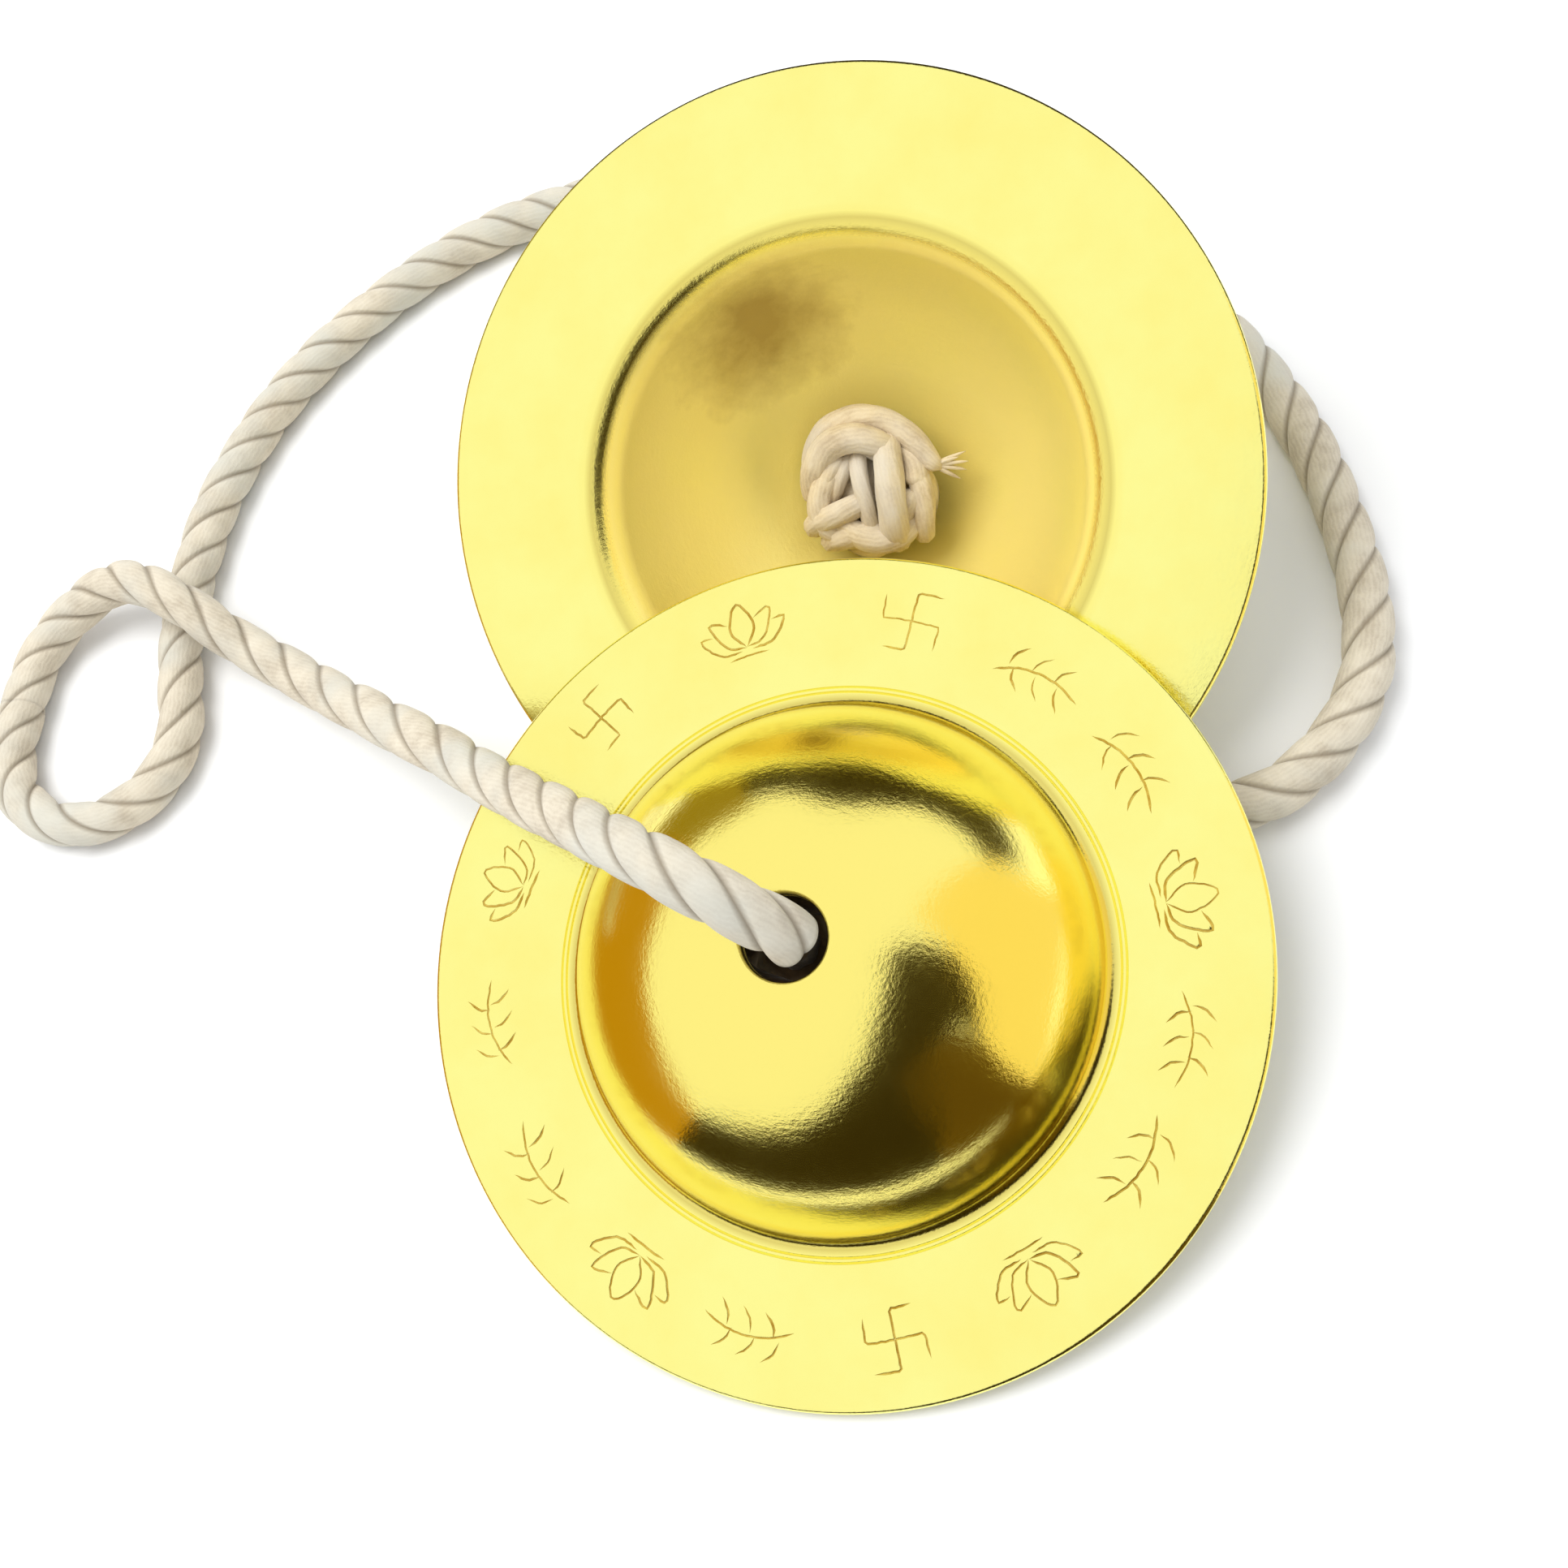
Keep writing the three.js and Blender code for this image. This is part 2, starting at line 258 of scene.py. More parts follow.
# Painted shade, near black, on the knot's cotton below a height in its own frame: in the hole and at the
# knot's base
PAINTED_SHADE_COTTON = (0.05, 0.028, 0.010)
PAINTED_SHADE_TO = 7 * MM
PAINTED_SHADE_FADE = 1.5 * MM
YARN_WIDTH = 0.55
YARN_WAVER = 0.9
WAVER_SCALE = 900
FIBRE_SCALE = 5200
PATCH_SCALE = 260
GREY_SCALE = 95
# How much painted shade darkens the cotton between its yarns
YARN_SHADE_TONE = 0.07
FIBRE_TONE = 0.18
PATCH_TONE = 0.75
GREY_SHARE = 0.75
# Where the painted shade in the cord's grooves starts and ends, as insets from a strand's edge, and how
# strong it gets
GROOVE_SHADE_FADE = (0.75, 0.05)
GROOVE_SHADE_SHARE = 0.7
YARN_HEIGHT = 0.45
COTTON_BUMP = 0.4
COTTON_DEPTH = 0.11 * MM
COTTON_ROUGHNESS = 0.92
COTTON_SHEEN = 0.15
SHEEN_ROUGHNESS = 0.5

# Knot. Each strand is a list of points in mm: right, up and out from the hole's outer end, and half its
# width. They were placed from the knot that shows in the rear cup.
KNOT_STRANDS = [
    [(-6.6, 0.6, 6.6, 1.2), (-6.3, 3.9, 8.2, 1.4), (-4.4, 6.9, 9.2, 1.45), (-1.0, 8.1, 9.6, 1.45),
     (2.2, 7.6, 9.6, 1.4), (4.4, 6.2, 9.7, 1.4), (6.0, 4.6, 9.9, 1.3), (7.2, 3.0, 10.0, 1.1),
     (8.3, 2.0, 9.7, 0.7)],
    [(-6.7, -0.8, 7.6, 1.2), (-5.9, 2.6, 9.9, 1.55), (-3.8, 5.2, 11.0, 1.65), (-1.2, 5.8, 11.4, 1.65),
     (1.2, 5.3, 11.2, 1.55), (2.8, 4.4, 9.8, 1.3), (3.6, 3.4, 7.8, 1.1)],
    [(-0.7, 4.9, 8.8, 0.8), (-0.8, 3.3, 10.5, 0.95), (-0.5, 1.0, 11.3, 1.0), (0.0, -1.4, 11.1, 0.95),
     (0.2, -3.6, 10.0, 0.9), (0.3, -5.2, 7.8, 0.8)],
    [(2.5, 6.0, 8.6, 1.2), (2.6, 4.1, 10.9, 1.5), (2.8, 1.4, 11.7, 1.65), (3.0, -1.6, 11.6, 1.65),
     (3.0, -4.3, 10.3, 1.6), (2.9, -6.0, 7.4, 1.4)],
    [(4.4, 3.4, 8.4, 1.0), (5.6, 1.7, 9.8, 1.2), (6.2, -1.0, 10.0, 1.25), (6.1, -3.7, 9.0, 1.2),
     (5.6, -5.6, 6.8, 1.1)],
    [(-6.1, -1.8, 8.2, 0.8), (-5.3, 0.3, 9.8, 1.0), (-4.0, 2.4, 10.4, 1.0), (-2.6, 4.0, 9.6, 0.9)],
    [(-4.8, -1.6, 8.6, 0.8), (-3.7, 0.5, 9.7, 1.0), (-2.5, 2.6, 10.0, 0.95), (-1.6, 4.3, 9.0, 0.8)],
    [(-7.0, -4.0, 6.8, 1.1), (-6.0, -3.1, 9.3, 1.35), (-3.6, -2.4, 10.6, 1.4), (-1.2, -1.5, 10.7, 1.3),
     (0.8, -0.8, 9.6, 1.0)],
    [(-5.6, -5.4, 6.4, 1.2), (-3.2, -4.9, 9.2, 1.4), (-0.2, -4.6, 9.8, 1.4), (2.4, -4.9, 8.4, 1.2)],
    [(0.4, 0, 1.4, 2.0), (0.3, 0, 3.2, 2.0), (0, 0, 5.4, 2.3), (0, 0, 7.4, 2.0)],
]
FRAY_ROOT = (7.4, 2.5, 9.7)
FRAY_ENDS = [
    (11.0, 3.8, 9.0), (11.3, 2.7, 9.3), (11.0, 1.8, 8.9),
    (10.3, 0.8, 8.6), (10.3, 3.2, 9.9), (10.6, 2.0, 8.3),
]
FRAY_WIDTH = 0.24
FRAY_ARCH = 0.3
BAND_BIGHTS = 4
BAND_LEADS = 3
BAND_STEPS = 40
BAND_RADIUS = 5.3
BAND_DEPTH = 0.75
BAND_MIDDLE = 7.7
BAND_REACH = 2.4
BAND_STRAND = 1.4
CORE_RADIUS = 4.6
CORE_MIDDLE = 7.2
CORE_REACH = 2.2
CORE_ROWS = 9
CORE_TIP = 0.3
STRAND_STEP = 0.35
STRAND_SIDES = 21
STRAND_YARNS = 7
STRAND_TWIST = 9  # mm along a strand in which its yarns turn by one radian
STRAND_END = 0.8
END_ROUNDING = 0.06
YARN_RIDGE = 0.055


def make_camera():
    data = bpy.data.cameras.new("camera")
    data.lens = LENS
    data.sensor_width = SENSOR
    data.clip_start = CLIP_START
    camera = bpy.data.objects.new("camera", data)
    forward = Vector(CAMERA_FORWARD).normalized()
    right = forward.cross(Vector(CAMERA_UP)).normalized()
    up = right.cross(forward)
    turned = Matrix((right, up, -forward)).transposed().to_4x4()
    camera.matrix_world = Matrix.Translation(CAMERA_PLACE) @ turned
    scene.collection.objects.link(camera)
    scene.camera = camera


# Shapes

def mesh_object(name, points, faces, uvs=None):
    """A smooth mesh. uvs, if given, holds one pair for each corner of each face, in order."""
    mesh = bpy.data.meshes.new(name)
    mesh.from_pydata([tuple(p) for p in points], [], [tuple(f) for f in faces])
    if uvs is not None:
        layer = mesh.uv_layers.new(name="UVMap")
        layer.data.foreach_set("uv", np.asarray(uvs, np.float32).ravel())
    mesh.shade_smooth()
    made = bpy.data.objects.new(name, mesh)
    scene.collection.objects.link(made)
    return made


def keep_own_place(mesh):
    """Keeps each point's place in the piece's own frame, for own_place_node to read."""
    own = mesh.attributes.new(OWN_PLACE, "FLOAT_VECTOR", "POINT")
    own.data.foreach_set("vector", np.array([v.co for v in mesh.vertices]).ravel())


def smooth_curve(points, per_span=24):
    """The centripetal Catmull-Rom curve through the points, which the CAD's cord follows."""
    points = np.array(points, float)
    padded = np.vstack([2 * points[0] - points[1], points, 2 * points[-1] - points[-2]])
    share = np.linspace(0, 1, per_span, endpoint=False)[:, None]
    spans = []
    for before, start, end, after in zip(padded, padded[1:], padded[2:], padded[3:]):
        d0 = math.sqrt(np.linalg.norm(start - before))
        d1 = math.sqrt(np.linalg.norm(end - start))
        d2 = math.sqrt(np.linalg.norm(after - end))
        leaving = d1 * ((start - before) / d0 - (end - before) / (d0 + d1) + (end - start) / d1)
        arriving = d1 * ((end - start) / d1 - (after - start) / (d1 + d2) + (after - end) / d2)
        spans.append(
            start
            + leaving * share
            + (3 * (end - start) - 2 * leaving - arriving) * share**2
            + (2 * (start - end) + leaving + arriving) * share**3
        )
    return np.vstack([*spans, points[-1:]])


def evenly(curve, step):
    """Points about a step apart on a curve, and how far along it each one is."""
    lengths = np.concatenate([[0], np.cumsum(np.linalg.norm(np.diff(curve, axis=0), axis=1))])
    along = np.linspace(0, lengths[-1], round(lengths[-1] / step) + 1)
    centres = np.column_stack([np.interp(along, lengths, column) for column in curve.T])
    return centres, along


def frames_along(centres, first=(0.3, 0.2, 1)):
    """Two directions across the curve at each point, which turn no more than the curve does."""
    tangents = np.gradient(centres, axis=0)
    tangents /= np.linalg.norm(tangents, axis=1)[:, None]
    across = np.empty_like(centres)
    current = np.array(first, float)
    for i, tangent in enumerate(tangents):
        current = current - (current @ tangent) * tangent
        current /= np.linalg.norm(current)
        across[i] = current
    return across, np.cross(tangents, across)


def skin(rings, columns_mm, rows_mm):
    """Points, faces and corner uvs of a tube through equal rings, with both ends closed.
    columns_mm holds a (start, end) pair for each face round the ring, and rows_mm one value a ring."""
    count, sides = rings.shape[:2]
    points = np.vstack([rings.reshape(-1, 3), rings[0].mean(0), rings[-1].mean(0)])
    first_end, last_end = count * sides, count * sides + 1
    faces, uvs = [], []
    for i in range(count - 1):
        low, high = rows_mm[i], rows_mm[i + 1]
        for j in range(sides):
            k = (j + 1) % sides
            left, right = columns_mm[j]
            faces.append((i * sides + j, i * sides + k, (i + 1) * sides + k, (i + 1) * sides + j))
            uvs += [(left, low), (right, low), (right, high), (left, high)]
    for j in range(sides):
        k = (j + 1) % sides
        left, right = columns_mm[j]
        last = (count - 1) * sides
        faces.append((k, j, first_end))
        uvs += [(right, rows_mm[0]), (left, rows_mm[0]), (left, rows_mm[0])]
        faces.append((last + j, last + k, last_end))
        uvs += [(left, rows_mm[-1]), (right, rows_mm[-1]), (left, rows_mm[-1])]
    return points, faces, uvs


# Cord

def lay_turns(along):
    """How far the strands have turned round the cord, whose lay is opened where its front stretch hangs."""
    lay = np.interp(along, LAY_PLACES, LAYS)
    return np.concatenate([[0], np.cumsum(np.diff(along) / lay[1:])])


def rope_rings(centres, across, side, along):
    """The outer skin of the strands, laid right-handed round the centre line."""
    turns = lay_turns(along)
    short_wave, long_wave = WANDER_WAVES
    wander = WANDER * np.sin(along / short_wave) + WANDER * np.sin(along / long_wave + 1)
    rings = np.empty((len(centres), 3 * STRAND_COLUMNS, 3))
    columns = []
    for strand in range(3):
        swell = 1 + wander + SWELL * np.sin(along / SWELL_WAVE + 2 * strand)
        for j in range(STRAND_COLUMNS):
            share = 2 * j / STRAND_COLUMNS - 1
            radius = (CREST - GROOVE * abs(share) ** STRAND_FLATNESS) * swell
            turn = TURN * (strand / 3 + turns + share / 6)
            x = (radius * np.cos(turn))[:, None]
            y = (radius * np.sin(turn))[:, None]
            rings[:, strand * STRAND_COLUMNS + j] = centres + x * across + y * side
            low = strand * STRAND_SPACING + share * HALF_STRAND
            columns.append((low, low + 2 * HALF_STRAND / STRAND_COLUMNS))
    return rings, columns


def make_cords(material):
    """One rope from hole to hole, cut where its front stretch meets its rear one."""
    whole = smooth_curve(FRONT_ROUTE[:-1] + REAR_ROUTE[::-1])
    centres, along = evenly(whole, CORD_STEP)
    across, side = frames_along(centres)
    rings, columns = rope_rings(centres, across, side, along)
    cut = int(np.argmin(np.linalg.norm(centres - np.array(FRONT_ROUTE[-1]), axis=1)))
    made = []
    for name, rows in (("front_cord", slice(0, cut + 1)), ("rear_cord", slice(cut, None))):
        points, faces, uvs = skin(rings[rows], columns, along[rows] / MM)
        piece = mesh_object(name, points, faces, uvs)
        piece.data.materials.append(material)
        made.append((piece, centres[rows]))
    return made


# Knots

def strand_skin(route):
    """A strand of yarns along a route of (right, up, out, half width) points in mm."""
    line, along = evenly(smooth_curve(route), STRAND_STEP)
    across, side = frames_along(line[:, :3], first=(0.2, 0.5, 1))
    angles = np.linspace(0, TURN, STRAND_SIDES, endpoint=False)
    yarn_turn = along[:, None] / STRAND_TWIST
    ends = np.minimum(along, along[-1] - along)[:, None]
    rounding = np.sqrt(np.clip(ends / STRAND_END, END_ROUNDING, 1))
    ridges = 1 + YARN_RIDGE * np.cos(STRAND_YARNS * (angles[None, :] + yarn_turn))
    size = (line[:, 3:4] * rounding * ridges)[:, :, None]
    rings = line[:, None, :3] + size * (
        np.cos(angles)[None, :, None] * across[:, None] + np.sin(angles)[None, :, None] * side[:, None]
    )
    width = line[:, 3].mean() * TURN / STRAND_SIDES
    columns = [(j * width, (j + 1) * width) for j in range(STRAND_SIDES)]
    return skin(rings, columns, along)


def fray_routes():
    """The loose ends that stick out of the knot."""
    for end in FRAY_ENDS:
        halfway = [(a + b) / 2 for a, b in zip(FRAY_ROOT, end)]
        halfway[2] += FRAY_ARCH
        yield [(*FRAY_ROOT, FRAY_WIDTH), (*halfway, FRAY_WIDTH), (*end, FRAY_WIDTH / 2)]


def band_route():
    """The middle of the knot's woven band: a Turk's head, over and under itself round the knot."""
    steps = BAND_STEPS * BAND_LEADS
    route = []
    for i in range(steps):
        turn = TURN * BAND_LEADS * i / (steps - 1)
        height = BAND_REACH * math.cos(BAND_BIGHTS * turn / BAND_LEADS)
        radius = BAND_RADIUS + BAND_DEPTH * math.sin(2 * BAND_BIGHTS * turn / BAND_LEADS)
        route.append((radius * math.cos(turn), radius * math.sin(turn), BAND_MIDDLE + height, BAND_STRAND))
    return route


def core_route():
    """A short thick strand that fills the knot's middle."""
    route = []
    for i in range(CORE_ROWS):
        lift = math.cos(math.pi * i / (CORE_ROWS - 1))
        size = max(CORE_TIP, CORE_RADIUS * math.sqrt(1 - lift**2))
        route.append((0, 0, CORE_MIDDLE - CORE_REACH * lift, size))
    return route


def make_knot(name, joint, boss_side, material):
    """A stopper knot in a cymbal's cup, its strands joined in one mesh."""
    points, faces, uvs = [], [], []
    for route in [*KNOT_STRANDS, *fray_routes(), band_route(), core_route()]:
        strand_points, strand_faces, strand_uvs = strand_skin(route)
        first = len(points)
        points += (strand_points * MM).tolist()
        faces += [tuple(corner + first for corner in face) for face in strand_faces]
        uvs += strand_uvs
    made = mesh_object(name, points, faces, uvs)
    keep_own_place(made.data)
    flip = Matrix.Rotation(math.pi, 4, "X")
    top = Matrix.Translation((0, 0, WALL + BOSS_RISE))
    made.data.transform(cymbal_place(joint, boss_side) @ top @ flip)
    made.data.materials.append(material)
    return made


# Materials

def new_material(name):
    material = bpy.data.materials.new(name)
    material.use_nodes = True
    tree = material.node_tree
    shader = tree.nodes["Principled BSDF"]
    return material, tree, shader


def add(tree, kind, sources=(), **settings):
    """A node with its settings, and its inputs set to a value or joined to an output."""
    made = tree.nodes.new(kind)
    for name, value in settings.items():
        setattr(made, name, value)
    for key, value in dict(sources).items():
        if isinstance(value, bpy.types.NodeSocket):
            tree.links.new(value, made.inputs[key])
        else:
            made.inputs[key].default_value = value
    return made


def ramp(tree, factor, stops):
    made = add(tree, "ShaderNodeValToRGB", {"Fac": factor})
    elements = made.color_ramp.elements
    elements[0].position, elements[0].color = stops[0][0], (*stops[0][1], 1)
    elements[1].position, elements[1].color = stops[-1][0], (*stops[-1][1], 1)
    for position, colour in stops[1:-1]:
        elements.new(position).color = (*colour, 1)
    return made.outputs["Color"]


def spread(tree, value, low, high, to_low, to_high):
    """value, mapped from low..high to to_low..to_high and held there outside."""
    made = add(
        tree,
        "ShaderNodeMapRange",
        {"Value": value, "From Min": low, "From Max": high, "To Min": to_low, "To Max": to_high},
    )
    return made.outputs["Result"]


def math_node(tree, operation, first, second=0.0):
    return add(tree, "ShaderNodeMath", {0: first, 1: second}, operation=operation).outputs[0]


def mix_colour(tree, factor, first, second):
    made = add(tree, "ShaderNodeMix", {"Factor": factor}, data_type="RGBA")
    for index, value in ((6, first), (7, second)):
        if isinstance(value, bpy.types.NodeSocket):
            tree.links.new(value, made.inputs[index])
        else:
            made.inputs[index].default_value = (*value, 1)
    return made.outputs[2]


def distance_node(tree, place, point):
    return add(tree, "ShaderNodeVectorMath", {0: place, 1: point}, operation="DISTANCE").outputs["Value"]


def noise_node(tree, vector, scale, detail=2.0, roughness=0.5):
    sources = {"Vector": vector, "Scale": scale, "Detail": detail, "Roughness": roughness}
    return add(tree, "ShaderNodeTexNoise", sources).outputs["Fac"]


def own_place_node(tree):
    return add(tree, "ShaderNodeAttribute", attribute_name=OWN_PLACE).outputs["Vector"]


def yarn_waves(tree, split, place, lean):
    """The rounding of the yarns across a strand, from 0 between two yarns to 1 on their crests."""
    leaned = math_node(tree, "MULTIPLY", split.outputs["Y"], lean)
    across = math_node(tree, "ADD", split.outputs["X"], leaned)
    waver = noise_node(tree, place, WAVER_SCALE, 3)
    bent = math_node(tree, "ADD", across, math_node(tree, "MULTIPLY", waver, YARN_WAVER))
    wave = math_node(tree, "SINE", math_node(tree, "MULTIPLY", bent, TURN / YARN_WIDTH))
    return spread(tree, wave, -1, 1, 0, 1)


def cotton_colour(tree, place, colours, yarn, fibre):
    """The yarns' colour in patches, some of them greyed, with painted shade between the yarns."""
    light, middle, shade, greyed = colours
    patches = noise_node(tree, place, PATCH_SCALE, 4, 0.6)
    # Painted shade between the yarns: lighter on their crests, darker where they dip
    yarn_shade = math_node(tree, "MULTIPLY", yarn, YARN_SHADE_TONE)
    soft_fibre = math_node(tree, "MULTIPLY", fibre, FIBRE_TONE)
    tone = math_node(tree, "ADD", yarn_shade, math_node(tree, "MULTIPLY", patches, PATCH_TONE))
    tone = math_node(tree, "ADD", tone, soft_fibre)
    colour = ramp(tree, tone, [(0.32, shade), (0.5, middle), (0.7, light)])
    grey_patches = noise_node(tree, place, GREY_SCALE, 3)
    return mix_colour(tree, spread(tree, grey_patches, 0.45, 0.68, 0, GREY_SHARE), colour, greyed)


def cotton_material(name, colours, yarn_lean, groove_shade=None, painted_shade_to=None):
    """Cotton yarn. Its uv holds millimetres round and along a strand, so the yarns have their real width.
    The groove colour is painted shade between the strands. Below the given height in its own frame, the
    knot's cotton is painted with near black shade, in the hole and at its base."""
    material, tree, shader = new_material(name)
    uv = add(tree, "ShaderNodeTexCoord").outputs["UV"]
    place = add(tree, "ShaderNodeTexCoord").outputs["Object"]
    split = add(tree, "ShaderNodeSeparateXYZ", {0: uv})
    yarn = yarn_waves(tree, split, place, yarn_lean)
    fibre = noise_node(tree, place, FIBRE_SCALE, 4, 0.65)
    colour = cotton_colour(tree, place, colours, yarn, fibre)
    if groove_shade:
        # Painted shade deep in the grooves between the strands
        beside = math_node(tree, "PINGPONG", split.outputs["X"], STRAND_SPACING / 2)
        fade_from, fade_to = (HALF_STRAND - inset for inset in GROOVE_SHADE_FADE)
        groove_shade_share = spread(tree, beside, fade_from, fade_to, 0, GROOVE_SHADE_SHARE)
        colour = mix_colour(tree, groove_shade_share, colour, groove_shade)
    # Painted shade, near black, low in the knot: in the hole and at its base
    if painted_shade_to:
        depth = add(tree, "ShaderNodeSeparateXYZ", {0: own_place_node(tree)}).outputs["Z"]
        painted_shade = spread(tree, depth, painted_shade_to - PAINTED_SHADE_FADE, painted_shade_to, 1, 0)
        colour = mix_colour(tree, painted_shade, colour, PAINTED_SHADE_COTTON)
    tree.links.new(colour, shader.inputs["Base Color"])
    height = math_node(tree, "ADD", math_node(tree, "MULTIPLY", yarn, YARN_HEIGHT), fibre)
    relief = {"Height": height, "Strength": COTTON_BUMP, "Distance": COTTON_DEPTH}
    bump = add(tree, "ShaderNodeBump", relief)
    tree.links.new(bump.outputs["Normal"], shader.inputs["Normal"])
    shader.inputs["Roughness"].default_value = COTTON_ROUGHNESS
    shader.inputs["Sheen Weight"].default_value = COTTON_SHEEN
    shader.inputs["Sheen Roughness"].default_value = SHEEN_ROUGHNESS
    return material


def brass_colour(tree, place, radius, boss, cup, clouds, painted_reflection_at):
    """The brass, cloudy, with painted dark reflections coloured as tarnish at the boss's foot and at any
    given place.
    """
    plain = mix_colour(tree, boss, RIM_BRASS, BOSS_BRASS)
    plain = mix_colour(tree, cup, plain, CUP_BRASS)
    cloudy = mix_colour(tree, spread(tree, clouds, 0.38, 0.72, 0, CLOUD_SHARE), plain, BOSS_BRASS)
    # A painted dark reflection round the boss's foot, coloured as tarnish
    foot = spread(tree, radius, BEND_RADIUS - FOOT_INSIDE, BEND_RADIUS - FOOT_FADE, 0, 1)
    past_foot = spread(tree, radius, BEND_RADIUS - FOOT_FADE, BEND_RADIUS + FOOT_FADE, 1, 0)
    painted_reflections = math_node(tree, "MULTIPLY", math_node(tree, "MULTIPLY", foot, past_foot), FOOT_PAINTED_REFLECTION)
    # A painted dark reflection at the given place, ragged with noise
    if painted_reflection_at:
        uneven = noise_node(tree, place, PAINTED_REFLECTION_SCALE, 5, 0.65)
        ragged = math_node(tree, "MULTIPLY", uneven, PAINTED_REFLECTION_RAGGED)
        away = math_node(tree, "ADD", distance_node(tree, place, painted_reflection_at), ragged)
        painted_reflections = math_node(tree, "MAXIMUM", painted_reflections, spread(tree, away, *PAINTED_REFLECTION_REACH, PAINTED_REFLECTION_SHARE, 0))
    return mix_colour(tree, painted_reflections, cloudy, PAINTED_REFLECTION_BROWN)


def brass_roughness(tree, boss, cup, clouds, grain, boss_roughness):
    satin = spread(tree, boss, 0, 1, RIM_ROUGHNESS, boss_roughness)
    in_cup = math_node(tree, "MULTIPLY", cup, CUP_ROUGHNESS - boss_roughness)
    satin = math_node(tree, "ADD", satin, in_cup)
    uneven = spread(tree, clouds, 0.3, 0.7, CLOUD_ROUGHNESS, -CLOUD_ROUGHNESS)
    grainy = math_node(tree, "MULTIPLY", grain, GRAIN_ROUGHNESS)
    return math_node(tree, "ADD", math_node(tree, "ADD", satin, uneven), grainy)


def brass_normal(tree, place, split, radius, grain):
    """Grain and fine turning marks round the axis, over soft waves."""
    turned = add(
        tree,
        "ShaderNodeCombineXYZ",
        {
            "X": math_node(tree, "MULTIPLY", radius, TURNING_SCALE),
            "Y": math_node(tree, "MULTIPLY", split.outputs["X"], ALONG_SCALE),
            "Z": math_node(tree, "MULTIPLY", split.outputs["Y"], ALONG_SCALE),
        },
    )
    lines = noise_node(tree, turned.outputs[0], 1, 3, 0.6)
    fine = math_node(tree, "ADD", grain, math_node(tree, "MULTIPLY", lines, TURNING_SHARE))
    bump = add(tree, "ShaderNodeBump", {"Height": fine, "Strength": BRASS_BUMP, "Distance": GRAIN_DEPTH})
    soft = noise_node(tree, place, WAVE_SCALE, 2, 0.4)
    relief = {"Height": soft, "Strength": BRASS_BUMP, "Distance": WAVE_DEPTH}
    waves = add(tree, "ShaderNodeBump", {**relief, "Normal": bump.outputs["Normal"]})
    return waves.outputs["Normal"]


def brass_material(name, boss_roughness, painted_reflection_at=None):
    """Turned and buffed brass: pale satin on the rim, deeper and brighter on the boss, softer in the cup.
    A painted dark reflection, coloured as tarnish, rings the boss's foot; another sits at the given place
    in the cymbal's own frame, if one is given."""
    material, tree, shader = new_material(name)
    place = own_place_node(tree)
    split = add(tree, "ShaderNodeSeparateXYZ", {0: place})
    flat = add(tree, "ShaderNodeCombineXYZ", {"X": split.outputs["X"], "Y": split.outputs["Y"]})
    radius = add(tree, "ShaderNodeVectorMath", {0: flat.outputs[0]}, operation="LENGTH").outputs["Value"]
    from_middle = distance_node(tree, place, (0, 0, SPHERE_Z))
    boss = spread(tree, radius, BOSS_RADIUS, BEND_RADIUS + FOOT_FILLET, 1, 0)
    within = spread(tree, from_middle, CUP_SPHERE + 0.3 * WALL, CUP_SPHERE + 0.7 * WALL, 1, 0)
    cup = math_node(tree, "MULTIPLY", boss, within)
    clouds = noise_node(tree, place, CLOUD_SCALE, 4, 0.6)
    grain = noise_node(tree, place, GRAIN_SCALE, 3, 0.7)
    colour = brass_colour(tree, place, radius, boss, cup, clouds, painted_reflection_at)
    rough = brass_roughness(tree, boss, cup, clouds, grain, boss_roughness)
    normal = brass_normal(tree, place, split, radius, grain)
    tree.links.new(colour, shader.inputs["Base Color"])
    tree.links.new(spread(tree, cup, 0, 1, 1, CUP_METALLIC), shader.inputs["Metallic"])
    tree.links.new(rough, shader.inputs["Roughness"])
    tree.links.new(normal, shader.inputs["Normal"])
    return material


def scratch_material():
    """The cut faces of a scratched mark, where the brass has darkened."""
    material, tree, shader = new_material("scratched_brass")
    tone = noise_node(tree, own_place_node(tree), SCRATCH_SCALE, 2)
    colour = ramp(tree, tone, [(0.3, SCRATCH_DARK), (0.7, SCRATCH_PALE)])
    tree.links.new(colour, shader.inputs["Base Color"])
    shader.inputs["Metallic"].default_value = 1.0
    shader.inputs["Roughness"].default_value = SCRATCH_ROUGHNESS
    return material


# Cymbals

def arc(radius, height, size, start, end, steps):
    angles = [start + (end - start) * i / steps for i in range(steps + 1)]
    return [(radius + size * math.cos(a), height + size * math.sin(a)) for a in angles]


def turned_line(radius):
    half = LINE_WIDTH / 2
    return [(radius - half, WALL), (radius, WALL - LINE_DEPTH), (radius + half, WALL)]


